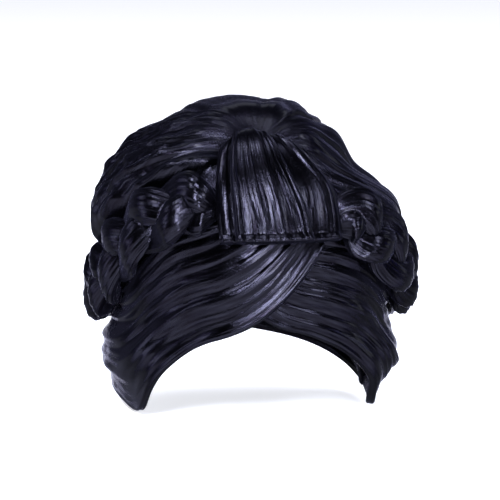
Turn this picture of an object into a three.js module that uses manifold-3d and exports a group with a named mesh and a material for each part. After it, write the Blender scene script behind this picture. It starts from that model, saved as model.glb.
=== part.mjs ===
// A turban headwrap of pleated, coated stretch cloth, in millimetres, +Z up, front towards -Y.
// Every piece lies on one egg-shaped form. A place on it is a direction from the form's centre,
// given as an azimuth (0 at the front, + to the right) and an elevation, both in degrees, and a
// height above the form. The origin is in the middle of the head opening, level with the peak of
// the front hem.
import * as THREE from 'three';
import { mergeVertices } from 'three/addons/utils/BufferGeometryUtils.js';
import Module from 'manifold-3d';

// The form under the cloth: a superellipsoid with its own reach on each side of its centre.
const FORM_CENTRE = new THREE.Vector3(0, 4, 25);
const FORM_LEFT_REACH = 82;
const FORM_RIGHT_REACH = 88;
const FORM_FRONT_REACH = 100;
const FORM_BACK_REACH = 102;
const FORM_TOP_REACH = 107;
const FORM_LOW_REACH = 149;
const FORM_SQUARENESS = 2.3;

// Cloth and clearances.
const CLOTH_THICKNESS = 2.5;
const PIECE_GAP = 0.8;
const CROSSING_LIFT = 6.2;

// The knot that the crown's folds run to.
const KNOT = { azimuth: -3, elevation: 55 };

// The lower edge of the whole wrap, from the nape round the left side, the front and the right.
const HEM = [
  { at: -180, elevation: -27.5 },
  { at: -145, elevation: -33 },
  { at: -110, elevation: -43 },
  { at: -85, elevation: -47 },
  { at: -62, elevation: -46 },
  { at: -41, elevation: -29.5 },
  { at: -24, elevation: -20 },
  { at: -7, elevation: -13 },
  { at: 15, elevation: -18.3 },
  { at: 30, elevation: -24.5 },
  { at: 44, elevation: -33 },
  { at: 60, elevation: -45.5 },
  { at: 85, elevation: -47 },
  { at: 110, elevation: -43 },
  { at: 145, elevation: -33 },
  { at: 180, elevation: -27.5 },
];

// How far the crown's cloth puffs out above the braid, by elevation, on the left and the right.
const CROWN_PUFF = [
  { at: -50, left: 0, right: 0 },
  { at: 10, left: 10, right: 8 },
  { at: 22, left: 18, right: 12 },
  { at: 43, left: 12, right: -7 },
  { at: 59, left: 5, right: 0 },
  { at: 90, left: 4, right: 5 },
];
const CROWN_HEM_INSET = 3;
const CROWN_HEM_RISE = 3;
// The puff starts this many degrees above the braid's centre line, and is full at the second.
const CROWN_LIFT_OFF = { low: 14, high: 25 };

// Where the crown's lines, fanned out round the knot, meet the hem. A line's bearing is 0 where it
// runs straight down the front, + to the right, and 180 where it runs back over the top.
const CROWN_LINES = [
  { at: -180, azimuth: -184 },
  { at: -145, azimuth: -162 },
  { at: -114, azimuth: -145 },
  { at: -73, azimuth: -110 },
  { at: -54, azimuth: -85 },
  { at: -40, azimuth: -60 },
  { at: -20, azimuth: -24 },
  { at: 17, azimuth: 15 },
  { at: 38, azimuth: 44 },
  { at: 58, azimuth: 85 },
  { at: 77, azimuth: 110 },
  { at: 121, azimuth: 145 },
  { at: 150, azimuth: 162 },
  { at: 180, azimuth: 176 },
];

// The crown's main folds, by bearing at the knot: a ridge has a height, a valley a minus one.
const CROWN_FOLDS = [
  { bearing: -172, width: 26, height: 3 },
  { bearing: -142, width: 12, height: 3 },
  { bearing: -124, width: 13, height: 4 },
  { bearing: -106, width: 12, height: 3 },
  { bearing: -90, width: 12, height: 4 },
  { bearing: -68, width: 14, height: 4 },
  { bearing: 60, width: 14, height: 3 },
  { bearing: 80, width: 12, height: 3 },
  { bearing: 100, width: 12, height: 4 },
  { bearing: 120, width: 12, height: 4 },
  { bearing: 139, width: 12, height: -3 },
  { bearing: 158, width: 14, height: 3 },
];

// The two bands. at runs from the nape to the end under the tab, and each row gives the lower
// and the upper edge there.
const OVER_WRAP = [
  { at: 0, lowAzimuth: -179.8, lowElevation: -27.5, highAzimuth: -179.8, highElevation: -9 },
  { at: 0.15, lowAzimuth: -145, lowElevation: -33, highAzimuth: -145, highElevation: -9 },
  { at: 0.3, lowAzimuth: -110, lowElevation: -43, highAzimuth: -112, highElevation: -8 },
  { at: 0.42, lowAzimuth: -84, lowElevation: -47, highAzimuth: -88, highElevation: -5 },
  { at: 0.52, lowAzimuth: -62, lowElevation: -46, highAzimuth: -70, highElevation: 1.5 },
  { at: 0.62, lowAzimuth: -41, lowElevation: -29.5, highAzimuth: -56, highElevation: 9.5 },
  { at: 0.72, lowAzimuth: -24, lowElevation: -20, highAzimuth: -42, highElevation: 19 },
  { at: 0.8, lowAzimuth: -7, lowElevation: -13, highAzimuth: -31, highElevation: 23 },
  { at: 0.87, lowAzimuth: 4, lowElevation: -4.5, highAzimuth: -22, highElevation: 25 },
  { at: 0.94, lowAzimuth: 14, lowElevation: 7, highAzimuth: -14, highElevation: 26 },
  { at: 1, lowAzimuth: 21.5, lowElevation: 18, highAzimuth: -6, highElevation: 26 },
];
const UNDER_WRAP = [
  { at: 0, lowAzimuth: 179.8, lowElevation: -27.5, highAzimuth: 179.8, highElevation: -9 },
  { at: 0.15, lowAzimuth: 145, lowElevation: -33, highAzimuth: 145, highElevation: -9 },
  { at: 0.3, lowAzimuth: 110, lowElevation: -43, highAzimuth: 112, highElevation: -8 },
  { at: 0.42, lowAzimuth: 84, lowElevation: -47, highAzimuth: 86, highElevation: -6 },
  { at: 0.52, lowAzimuth: 60, lowElevation: -45.5, highAzimuth: 68, highElevation: 0 },
  { at: 0.62, lowAzimuth: 44, lowElevation: -33, highAzimuth: 53, highElevation: 7 },
  { at: 0.72, lowAzimuth: 30, lowElevation: -24.5, highAzimuth: 42, highElevation: 14 },
  { at: 0.8, lowAzimuth: 15, lowElevation: -18.3, highAzimuth: 33, highElevation: 19 },
  { at: 0.88, lowAzimuth: 3, lowElevation: -15, highAzimuth: 24, highElevation: 21 },
  { at: 0.94, lowAzimuth: -5, lowElevation: -11, highAzimuth: 14, highElevation: 21 },
  { at: 1, lowAzimuth: -13, lowElevation: -8, highAzimuth: 2, highElevation: 16 },
];

// Folds that run along a band: how far across it each lies from the lower edge, its width and
// its height.
const OVER_FOLDS = [
  { across: 0.1, width: 0.09, height: 1.6 },
  { across: 0.3, width: 0.12, height: 3 },
  { across: 0.5, width: 0.09, height: 2 },
  { across: 0.66, width: 0.08, height: 1.4 },
];
const UNDER_FOLDS = [
  { across: 0.12, width: 0.1, height: 1.6 },
  { across: 0.38, width: 0.14, height: 3.2 },
  { across: 0.62, width: 0.09, height: 2 },
  { across: 0.78, width: 0.08, height: 1 },
];
const FRONT_FOLD_SHARE = 0.5;

// The azimuths over which the over wrap rises to clear the under wrap's end and drops back again.
// They slant with the elevation, as the bands do.
const CROSSING_SLANT = 0.5;
const CROSSING_RISE = { low: -32, high: -14 };
const CROSSING_DROP = { low: 60, high: 90 };

// How far the bands' gathered cloth bulges out at each side of the head, below the braid.
const SIDE_BULGE = [
  { at: -50, left: 7, right: 2 },
  { at: -40, left: 11, right: 5 },
  { at: -31, left: 12, right: 10 },
  { at: -25, left: 9, right: 9 },
  { at: -20, left: 2, right: 2 },
  { at: -16, left: 0, right: 0 },
  { at: 90, left: 0, right: 0 },
];
const BULGE_START = { low: 22, high: 52 };
const BULGE_END = { low: 110, high: 160 };

// The braid's centre line, from the left edge of the tab round the nape to its right edge. The
// size column scales the braid, which is gathered small where it goes under the tab.
const BRAID_ROUTE = [
  { at: 0, azimuth: -19.5, elevation: 29, size: 0.3 },
  { at: 0.02, azimuth: -24.5, elevation: 29.5, size: 0.55 },
  { at: 0.05, azimuth: -32, elevation: 28.5, size: 0.96 },
  { at: 0.09, azimuth: -43, elevation: 24.5, size: 1 },
  { at: 0.15, azimuth: -60, elevation: 14.5, size: 1 },
  { at: 0.22, azimuth: -79, elevation: 1, size: 1 },
  { at: 0.3, azimuth: -100, elevation: -7.5, size: 1 },
  { at: 0.39, azimuth: -130, elevation: -10.5, size: 1 },
  { at: 0.5, azimuth: -180, elevation: -11, size: 1 },
  { at: 0.61, azimuth: -230, elevation: -10.5, size: 1 },
  { at: 0.7, azimuth: -260, elevation: -8.5, size: 1 },
  { at: 0.78, azimuth: -282, elevation: -3.5, size: 1 },
  { at: 0.86, azimuth: -303, elevation: 5.5, size: 1 },
  { at: 0.93, azimuth: -320, elevation: 17, size: 1 },
  { at: 0.965, azimuth: -327, elevation: 21, size: 0.96 },
  { at: 0.985, azimuth: -332.5, elevation: 21.5, size: 0.5 },
  { at: 1, azimuth: -337, elevation: 21.5, size: 0.3 },
];
const STRAND_COUNT = 3;
const STRAND_SWEEP = 10.5;
const STRAND_SINK = 4.2;
const STRAND_HALF_WIDTH = 14;
const STRAND_HALF_THICKNESS = 6.5;
const STRAND_GAP = 3;
const STRAND_CLEARANCE = 0.6;
const STRAND_TOLERANCE = 0.12;
const BRAID_HEIGHT = 16;
const BRAID_END_HEIGHT = 8.5;
const BRAID_TURNS = 5;

// The front tab's two layers, from the knot down to the rolled bottom edge. inner is the height
// of a layer's back face above the form.
const TAB_BACK_PANEL = [
  { at: 0, elevation: 56, left: -15, right: 7, inner: 6 },
  { at: 0.1, elevation: 54, left: -17, right: 9, inner: 10.5 },
  { at: 0.25, elevation: 48, left: -21, right: 14, inner: 13.4 },
  { at: 0.4, elevation: 41, left: -21.5, right: 19, inner: 13.4 },
  { at: 0.55, elevation: 33, left: -21, right: 24.5, inner: 13.4 },
  { at: 0.7, elevation: 26, left: -20, right: 25, inner: 13.4 },
  { at: 0.9, elevation: 17, left: -18.5, right: 24, inner: 13.6 },
  { at: 1, elevation: 15.2, left: -18.3, right: 23.8, inner: 13 },
];
const TAB_FRONT_PANEL = [
  { at: 0, elevation: 54, left: -15, right: -1, inner: 16.4 },
  { at: 0.1, elevation: 52.5, left: -15.5, right: 0.5, inner: 17 },
  { at: 0.25, elevation: 48, left: -16, right: 3.5, inner: 17.4 },
  { at: 0.4, elevation: 41, left: -16, right: 6, inner: 17.4 },
  { at: 0.55, elevation: 33, left: -15, right: 9, inner: 17.4 },
  { at: 0.7, elevation: 26, left: -14, right: 11.5, inner: 17.4 },
  { at: 0.9, elevation: 17, left: -13, right: 13, inner: 17.6 },
  { at: 1, elevation: 15.2, left: -12.8, right: 13.2, inner: 17 },
];
const TAB_ARCH_DROP = 6;
const TAB_ARCH_REACH = 0.96;

// Facets: how many steps each piece is divided into.
const CROWN_COLUMNS = 40;
const CROWN_ROWS = 11;
const BAND_STEPS = 27;
const BAND_ROWS = 10;
const STRAND_STEPS = 68;
const STRAND_SIDES = 8;
const TAB_STEPS = 9;
const TAB_ROWS = 8;

const CLOTH_COLOUR = 0x0b0b10;
const clothMaterial = () => new THREE.MeshStandardMaterial({
  color: CLOTH_COLOUR,
  roughness: 0.32,
  metalness: 0.35,
});

const radians = THREE.MathUtils.degToRad;
const smooth = (low, high, value) => THREE.MathUtils.smoothstep(value, low, high);
const within = (span, value) => smooth(span.low, span.high, value);

// A smooth curve through one column of a table, at the given place in its at column.
function column(rows, name, at) {
  const last = rows.length - 2;
  const i = Math.min(last, Math.max(0, rows.findIndex((row) => row.at > at) - 1));
  const k = at >= rows[last + 1].at ? last : i;
  const slope = (j) => {
    const before = rows[Math.max(0, j - 1)];
    const after = rows[Math.min(rows.length - 1, j + 1)];
    return (after[name] - before[name]) / (after.at - before.at);
  };
  const span = rows[k + 1].at - rows[k].at;
  const t = THREE.MathUtils.clamp((at - rows[k].at) / span, 0, 1);
  const rise = rows[k + 1][name] - rows[k][name];
  const bend = (1 - t) * (slope(k) * span - rise) - t * (slope(k + 1) * span - rise);
  return rows[k][name] + rise * t + t * (1 - t) * bend;
}

function direction(azimuth, elevation) {
  const level = Math.cos(radians(elevation));
  const side = Math.sin(radians(azimuth)) * level;
  return new THREE.Vector3(side, -Math.cos(radians(azimuth)) * level, Math.sin(radians(elevation)));
}

function azimuthOf(ray) {
  return THREE.MathUtils.radToDeg(Math.atan2(ray.x, -ray.y));
}

function elevationOf(ray) {
  return THREE.MathUtils.radToDeg(Math.asin(ray.z));
}

// How far the form reaches along X, Y and Z on the side that a direction points to.
function formReaches(ray) {
  return [
    ray.x < 0 ? FORM_LEFT_REACH : FORM_RIGHT_REACH,
    ray.y < 0 ? FORM_FRONT_REACH : FORM_BACK_REACH,
    ray.z < 0 ? FORM_LOW_REACH : FORM_TOP_REACH,
  ];
}

// The point above the form in a direction, at a height measured along it.
function onForm(ray, height) {
  const reaches = formReaches(ray);
  const sum = ray.toArray()
    .map((share, i) => Math.abs(share / reaches[i]) ** FORM_SQUARENESS)
    .reduce((total, term) => total + term, 0);
  const radius = sum ** (-1 / FORM_SQUARENESS) + height;
  return ray.clone().multiplyScalar(radius).add(FORM_CENTRE);
}

// The way out of the form, square to its surface, in a direction from its centre.
function formNormal(ray) {
  const reaches = formReaches(ray);
  const slopes = ray.toArray().map((share, i) => (
    Math.sign(share) * Math.abs(share / reaches[i]) ** (FORM_SQUARENESS - 1) / reaches[i]
  ));
  return new THREE.Vector3(...slopes).normalize();
}

// The direction a share of the way along the great circle from one direction to another.
function between(start, end, share) {
  const angle = start.angleTo(end);
  const first = start.clone().multiplyScalar(Math.sin((1 - share) * angle));
  return first.addScaledVector(end, Math.sin(share * angle)).normalize();
}

// One closed body from rings of points, all the same length. Each end is closed by a fan to a
// point where one is given, and otherwise by a strip across a flat ring folded at its middle.
function closedBody(rings, startPoint, endPoint) {
  const size = rings[0].length;
  const positions = rings.flat().flatMap((point) => point.toArray());
  const faces = [];
  for (let r = 0; r < rings.length - 1; r += 1) {
    for (let i = 0; i < size; i += 1) {
      const a = r * size + i;
      const b = r * size + (i + 1) % size;
      faces.push(a, b, b + size, a, b + size, a + size);
    }
  }
  const close = (offset, point, flip) => {
    const add = (a, b, c) => (flip ? faces.push(a, c, b) : faces.push(a, b, c));
    if (point) {
      positions.push(...point.toArray());
      const tip = positions.length / 3 - 1;
      for (let i = 0; i < size; i += 1) {
        add(offset + (i + 1) % size, offset + i, tip);
      }
      return;
    }
    for (let i = 0; i < size / 2 - 1; i += 1) {
      const a = offset + i;
      const across = offset + size - 1 - i;
      add(a + 1, a, across);
      add(a + 1, across, across - 1);
    }
  };
  close(0, startPoint, false);
  close((rings.length - 1) * size, endPoint, true);
  const geometry = new THREE.BufferGeometry();
  geometry.setAttribute('position', new THREE.Float32BufferAttribute(positions, 3));
  geometry.setIndex(faces);
  return facingOut(mergeVertices(geometry, 1e-4));
}

// Turns every face round when the body's signed volume is negative.
function facingOut(geometry) {
  const at = geometry.getAttribute('position');
  const index = geometry.getIndex().array;
  const corner = (n) => new THREE.Vector3().fromBufferAttribute(at, index[n]);
  let volume = 0;
  for (let i = 0; i < index.length; i += 3) {
    volume += corner(i).dot(corner(i + 1).cross(corner(i + 2)));
  }
  if (volume < 0) {
    for (let i = 0; i < index.length; i += 3) {
      [index[i + 1], index[i + 2]] = [index[i + 2], index[i + 1]];
    }
  }
  geometry.computeVertexNormals();
  return geometry;
}

// A rounded ridge of height 1 at the middle of its width and 0 outside it.
function ridge(distance, width) {
  const share = Math.min(1, Math.abs(distance) / width);
  return 0.5 + 0.5 * Math.cos(Math.PI * share);
}

const braidElevation = (azimuth) => {
  const rows = BRAID_ROUTE.map((row) => ({ at: -row.azimuth, elevation: row.elevation }));
  const turned = azimuth > BRAID_ROUTE[0].azimuth ? 360 - azimuth : -azimuth;
  return column(rows, 'elevation', THREE.MathUtils.clamp(turned, rows[0].at, rows.at(-1).at));
};

// The sum of a table's ridges at one place in the named column.
function foldHeight(folds, name, at) {
  return folds
    .map((row) => row.height * ridge(at - row[name], row.width))
    .reduce((total, height) => total + height, 0);
}

// A height that has its own tables on the left and the right, blended across the middle.
function sidedHeight(rows, ray) {
  const elevation = elevationOf(ray);
  const left = column(rows, 'left', elevation);
  return left + (column(rows, 'right', elevation) - left) * smooth(-0.4, 0.4, ray.x);
}

// How far the crown stands above the form: nothing under the bands and the braid, then a puff.
function crownHeight(ray, bearing, share) {
  const above = within(CROWN_LIFT_OFF, elevationOf(ray) - braidElevation(azimuthOf(ray)));
  const awayFromKnot = smooth(0.03, 0.25, share);
  const inset = CROWN_HEM_INSET * smooth(0.9, 1, share);
  const fold = foldHeight(CROWN_FOLDS, 'bearing', bearing);
  return above * awayFromKnot * (sidedHeight(CROWN_PUFF, ray) + fold) - inset;
}

// The crown: its rings go round the knot, out to the hem on the outside and back on the inside,
// and the body is closed by two poles under the tab.
function makeCrown() {
  const knot = direction(KNOT.azimuth, KNOT.elevation);
  const point = (line, share, depth) => {
    const bearing = -180 + (360 * line) / CROWN_COLUMNS;
    const azimuth = column(CROWN_LINES, 'azimuth', bearing);
    const hemAt = azimuth < -180 ? azimuth + 360 : azimuth;
    const ray = between(knot, direction(azimuth, column(HEM, 'elevation', hemAt) + CROWN_HEM_RISE), share);
    return onForm(ray, crownHeight(ray, bearing, share) - depth);
  };
  const ringAt = (share, depth) => (
    Array.from({ length: CROWN_COLUMNS }, (_, i) => point(i, share, depth))
  );
  const shares = Array.from({ length: CROWN_ROWS }, (_, i) => ((i + 1) / CROWN_ROWS) ** 0.9);
  const outside = shares.map((share) => ringAt(share, 0));
  const inside = shares.map((share) => ringAt(share, CLOTH_THICKNESS)).reverse();
  return closedBody([...outside, ...inside], onForm(knot, 0), onForm(knot, -CLOTH_THICKNESS));
}

// 1 at each side of the head, fading to 0 at the front and the nape.
function besideHead(azimuth) {
  return within(BULGE_START, Math.abs(azimuth)) * (1 - within(BULGE_END, Math.abs(azimuth)));
}

// A band of cloth between two edges, with folds along it. Its back face is smooth.
function makeBand(rows, folds, liftAt) {
  const rings = Array.from({ length: BAND_STEPS + 1 }, (_, step) => {
    const at = step / BAND_STEPS;
    const low = direction(column(rows, 'lowAzimuth', at), column(rows, 'lowElevation', at));
    const high = direction(column(rows, 'highAzimuth', at), column(rows, 'highElevation', at));
    const narrowing = THREE.MathUtils.lerp(1, FRONT_FOLD_SHARE, smooth(0.6, 1, at));
    const place = (across, isFront) => {
      const ray = between(low, high, across);
      const fold = narrowing * foldHeight(folds, 'across', across);
      const bulge = sidedHeight(SIDE_BULGE, ray) * besideHead(azimuthOf(ray));
      const thickness = isFront ? CLOTH_THICKNESS + fold : 0;
      return onForm(ray, PIECE_GAP + liftAt(ray) + bulge + thickness);
    };
    const shares = Array.from({ length: BAND_ROWS }, (_, i) => i / (BAND_ROWS - 1));
    const front = shares.map((across) => place(across, true));
    const back = shares.map((across) => place(across, false)).reverse();
    return [...front, ...back];
  });
  return closedBody(rings);
}

// The over wrap rises where the under wrap's end lies beneath it, and stays low by the braid.
function overLift(ray) {
  const slanted = azimuthOf(ray) - CROSSING_SLANT * Math.max(0, elevationOf(ray));
  return CROSSING_LIFT * within(CROSSING_RISE, slanted) * (1 - within(CROSSING_DROP, slanted));
}

const noLift = () => 0;

// One strand of the braid. Its middle swings from side to side once a turn and sinks and rises
// twice, a third of a turn behind its neighbour. Where it presses on a neighbour, its oval
// section is flattened to the line midway between them. growth makes it larger all round.
function makeStrand(number, growth) {
  const middle = (phase, n) => {
    const turn = phase + (n * 2 * Math.PI) / STRAND_COUNT;
    return new THREE.Vector2(
      (STRAND_SWEEP * Math.sin(turn)) / STRAND_HALF_WIDTH,
      (STRAND_SINK * Math.sin(2 * turn)) / STRAND_HALF_THICKNESS,
    );
  };
  const route = (at) => {
    const ray = direction(column(BRAID_ROUTE, 'azimuth', at), column(BRAID_ROUTE, 'elevation', at));
    const size = column(BRAID_ROUTE, 'size', at);
    const full = smooth(0.3, 1, size);
    return { ray, size, height: THREE.MathUtils.lerp(BRAID_END_HEIGHT, BRAID_HEIGHT, full) };
  };
  const section = (at) => {
    const { ray, size, height } = route(at);
    const step = 1e-3;
    const ahead = route(Math.min(1, at + step)).ray.sub(route(Math.max(0, at - step)).ray);
    const up = formNormal(ray);
    const across = new THREE.Vector3().crossVectors(ahead, up).normalize();
    const phase = at * BRAID_TURNS * 2 * Math.PI;
    const own = middle(phase, number);
    const others = Array.from({ length: STRAND_COUNT }, (_, n) => n)
      .filter((n) => n !== number)
      .map((n) => middle(phase, n));
    const centre = onForm(ray, 0).addScaledVector(up, height);
    const place = (spot) => centre.clone()
      .addScaledVector(across, spot.x * STRAND_HALF_WIDTH * size)
      .addScaledVector(up, spot.y * STRAND_HALF_THICKNESS * size);
    const unit = STRAND_HALF_THICKNESS * size;
    const radius = 1 + growth / unit;
    const ring = Array.from({ length: STRAND_SIDES }, (_, i) => {
      const angle = (2 * Math.PI * (i + 0.5)) / STRAND_SIDES;
      const spot = new THREE.Vector2(Math.cos(angle), Math.sin(angle)).multiplyScalar(radius).add(own);
      others.forEach((other) => {
        const towards = other.clone().sub(own);
        const reach = towards.length() / 2 + (growth - STRAND_GAP / 2) / unit;
        towards.normalize();
        const past = spot.clone().sub(own).dot(towards) - reach;
        if (past > 0) {
          spot.addScaledVector(towards, -past);
        }
      });
      return place(spot);
    });
    return { ring, middle: place(own) };
  };
  const sections = Array.from({ length: STRAND_STEPS + 1 }, (_, i) => section(i / STRAND_STEPS));
  return closedBody(sections.map((one) => one.ring), sections[0].middle, sections.at(-1).middle);
}

const wasm = await Module();
wasm.setup();

function solidOf(geometry) {
  const bare = geometry.clone();
  bare.deleteAttribute('normal');
  const vertProperties = new Float32Array(bare.getAttribute('position').array);
  const triVerts = new Uint32Array(bare.getIndex().array);
  return new wasm.Manifold(new wasm.Mesh({ numProp: 3, vertProperties, triVerts }));
}

function geometryOf(solid) {
  const mesh = solid.getMesh();
  const geometry = new THREE.BufferGeometry();
  geometry.setAttribute('position', new THREE.BufferAttribute(mesh.vertProperties, 3));
  geometry.setIndex(new THREE.BufferAttribute(mesh.triVerts, 1));
  geometry.computeVertexNormals();
  return geometry;
}

// The strands, each trimmed to clear those before it where their facets would meet, and then
// rid of the slivers that the cuts leave.
function makeBraid() {
  return Array.from({ length: STRAND_COUNT }, (_, number) => {
    let strand = solidOf(makeStrand(number, 0));
    for (let earlier = 0; earlier < number; earlier += 1) {
      strand = strand.subtract(solidOf(makeStrand(earlier, STRAND_CLEARANCE)));
    }
    const pieces = strand.decompose().sort((a, b) => b.volume() - a.volume());
    return geometryOf(pieces[0].simplify(STRAND_TOLERANCE));
  });
}

// One layer of the tab, hanging from the knot. Its sides drop away at the top as an arch.
function makeTabPanel(rows) {
  const rings = Array.from({ length: TAB_STEPS + 1 }, (_, step) => {
    const at = step / TAB_STEPS;
    const shares = Array.from({ length: TAB_ROWS }, (_, i) => i / (TAB_ROWS - 1));
    const place = (across, depth) => {
      const azimuth = THREE.MathUtils.lerp(column(rows, 'left', at), column(rows, 'right', at), across);
      const roundness = 1 - Math.sqrt(1 - (TAB_ARCH_REACH * (2 * across - 1)) ** 2);
      const arch = TAB_ARCH_DROP * roundness * (1 - smooth(0, 0.3, at));
      const ray = direction(azimuth, column(rows, 'elevation', at) - arch);
      return onForm(ray, column(rows, 'inner', at) + depth);
    };
    const front = shares.map((across) => place(across, CLOTH_THICKNESS));
    const back = shares.map((across) => place(across, 0)).reverse();
    return [...front, ...back];
  });
  return closedBody(rings);
}

const headwrap = new THREE.Group();

function add(name, geometry) {
  const mesh = new THREE.Mesh(geometry, clothMaterial());
  mesh.name = name;
  headwrap.add(mesh);
}

add('crown', makeCrown());
add('under_wrap', makeBand(UNDER_WRAP, UNDER_FOLDS, noLift));
add('over_wrap', makeBand(OVER_WRAP, OVER_FOLDS, overLift));
makeBraid().forEach((geometry, i) => add(`braid_strand_${i + 1}`, geometry));
add('tab_back_panel', makeTabPanel(TAB_BACK_PANEL));
add('tab_front_panel', makeTabPanel(TAB_FRONT_PANEL));

export default headwrap;
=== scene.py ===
"""A turban headwrap of glossy pleated cloth: its cloth pieces, their finish and a plain studio.

Every piece lies on one egg-shaped form. A place on it is a direction from the form's centre, given
as an azimuth (0 at the front, + to the right) and an elevation in degrees, and a height above the
form. Lengths in the tables are millimetres, and meshes are in metres.
"""
import logging
from dataclasses import dataclass
from enum import Enum
from typing import Callable

import bpy
import numpy as np
from mathutils import Matrix, Vector


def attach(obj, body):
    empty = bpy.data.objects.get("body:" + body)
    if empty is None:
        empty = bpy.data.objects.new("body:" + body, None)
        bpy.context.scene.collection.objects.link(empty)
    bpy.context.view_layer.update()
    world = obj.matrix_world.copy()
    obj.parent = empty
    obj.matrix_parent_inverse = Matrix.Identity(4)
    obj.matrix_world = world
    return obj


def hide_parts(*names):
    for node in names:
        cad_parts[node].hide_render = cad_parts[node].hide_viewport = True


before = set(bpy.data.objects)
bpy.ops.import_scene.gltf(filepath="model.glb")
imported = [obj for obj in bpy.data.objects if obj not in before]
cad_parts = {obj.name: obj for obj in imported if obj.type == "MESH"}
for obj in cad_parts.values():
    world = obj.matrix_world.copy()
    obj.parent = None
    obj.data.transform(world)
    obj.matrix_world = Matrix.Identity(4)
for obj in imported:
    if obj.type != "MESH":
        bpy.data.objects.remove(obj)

Array = np.ndarray
MM = 0.001
BACK_FLOW = 9.0
CROSSING_LIFT = 6.2
LOG = logging.getLogger("headwrap")


class Table:
    """Named columns against the first one, read as smooth curves."""

    def __init__(self, names: str, *rows: tuple[float, ...]) -> None:
        """Keeps the rows as columns.

        Args:
            names: the names of the columns after the first, with spaces between them.
            rows: the rows, each starting with its place.
        """
        values = np.array(rows, float)
        self.at = values[:, 0]
        self.columns = dict(zip(names.split(), values[:, 1:].T))

    def read(self, name: str, at: Array | float) -> Array:
        """Reads one column: a cubic whose slope at a row is that of the line between its neighbours.

        Args:
            name: the column's name.
            at: the places to read, held to the table's ends.

        Returns:
            The column's value at each place.
        """
        value, places = self.columns[name], np.asarray(at, float)
        last = len(value) - 1
        order = np.arange(last + 1)
        before, after = np.maximum(order - 1, 0), np.minimum(order + 1, last)
        slope = (value[after] - value[before]) / (self.at[after] - self.at[before])
        k = np.clip(np.searchsorted(self.at, places, side="right") - 1, 0, last - 1)
        span = self.at[k + 1] - self.at[k]
        t = np.clip((places - self.at[k]) / span, 0, 1)
        rise = value[k + 1] - value[k]
        bend = (1 - t) * (slope[k] * span - rise) - t * (slope[k + 1] * span - rise)
        return value[k] + rise * t + t * (1 - t) * bend


def smooth(low: float, high: float, value: Array) -> Array:
    """0 below low, 1 above high, and 3t^2 - 2t^3 of the share t of the way between."""
    t = np.clip((value - low) / (high - low), 0, 1)
    return t * t * (3 - 2 * t)


def ridge(distance: Array, width: float) -> Array:
    """A rounded ridge: half of one plus the cosine, 1 at distance 0 and 0 past the width."""
    return 0.5 + 0.5 * np.cos(np.pi * np.minimum(1, np.abs(distance) / width))


def turned(angle: Array) -> Array:
    """The same angle between -180 and 180 degrees."""
    return (angle + 180) % 360 - 180


def lip(distance: Array, slope: float, drop: float) -> Array:
    """The edge of a fold that laps over its neighbour.

    It rises as the exponential of distance over slope up to the edge at 0, then falls smoothly to
    nothing within drop.

    Args:
        distance: the way past the edge, minus on the lapping cloth.
        slope: how far back the rise reaches.
        drop: how far the fall takes.

    Returns:
        The height, 1 at the edge.
    """
    rise = np.exp(np.minimum(distance, 0) / slope)
    return rise * (1 - smooth(0, drop, distance))


def crumple(u: Array, v: Array, across: int, along: int, seed: int, loops: bool = False) -> Array:
    """Smooth noise: seeded values on a lattice, blended between neighbours by the smooth step.

    Args:
        u: the place across, from 0 to 1.
        v: the place along, from 0 to 1.
        across: the lattice's cells across.
        along: the lattice's cells along.
        seed: the number that picks the lattice's values.
        loops: whether the noise at u = 1 meets that at u = 0.

    Returns:
        Noise from -1 to 1.
    """
    lattice = np.random.default_rng(seed).uniform(-1, 1, (across + 1, along + 1))
    if loops:
        lattice[-1] = lattice[0]
    x = (u % 1 if loops else np.clip(u, 0, 1)) * across
    y = np.clip(v, 0, 1) * along
    i, j = np.minimum(x.astype(int), across - 1), np.minimum(y.astype(int), along - 1)
    s, t = smooth(0, 1, x - i), smooth(0, 1, y - j)
    low = lattice[i, j] * (1 - s) + lattice[i + 1, j] * s
    high = lattice[i, j + 1] * (1 - s) + lattice[i + 1, j + 1] * s
    return low * (1 - t) + high * t


def pleats(u: Array, v: Array, count: int, seed: int, lean: float = 0.7, loops: bool = False) -> Array:
    """Irregular pleats that run along v, and merge and part as cloth gathers do.

    The place across is wandered by noise and counted in pleats. Each rises by the smooth step over
    the lean share of its width and falls over the rest, and noise scales its height.

    Args:
        u: the place across, from 0 to 1.
        v: the place along, from 0 to 1.
        count: how many pleats there are.
        seed: the number that picks the noise.
        lean: the share of a pleat that rises.
        loops: whether u = 1 meets u = 0.

    Returns:
        Heights from 0 to 1.
    """
    wander = crumple(u, v, max(2, count // 2), 5, seed, loops)
    phase = (count * u + 0.55 * wander) % 1
    shape = np.where(phase < lean, smooth(0, lean, phase), 1 - smooth(lean, 1, phase))
    strength = 0.62 + 0.38 * crumple(u, v, count, 7, seed + 1, loops)
    return shape * strength


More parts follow.
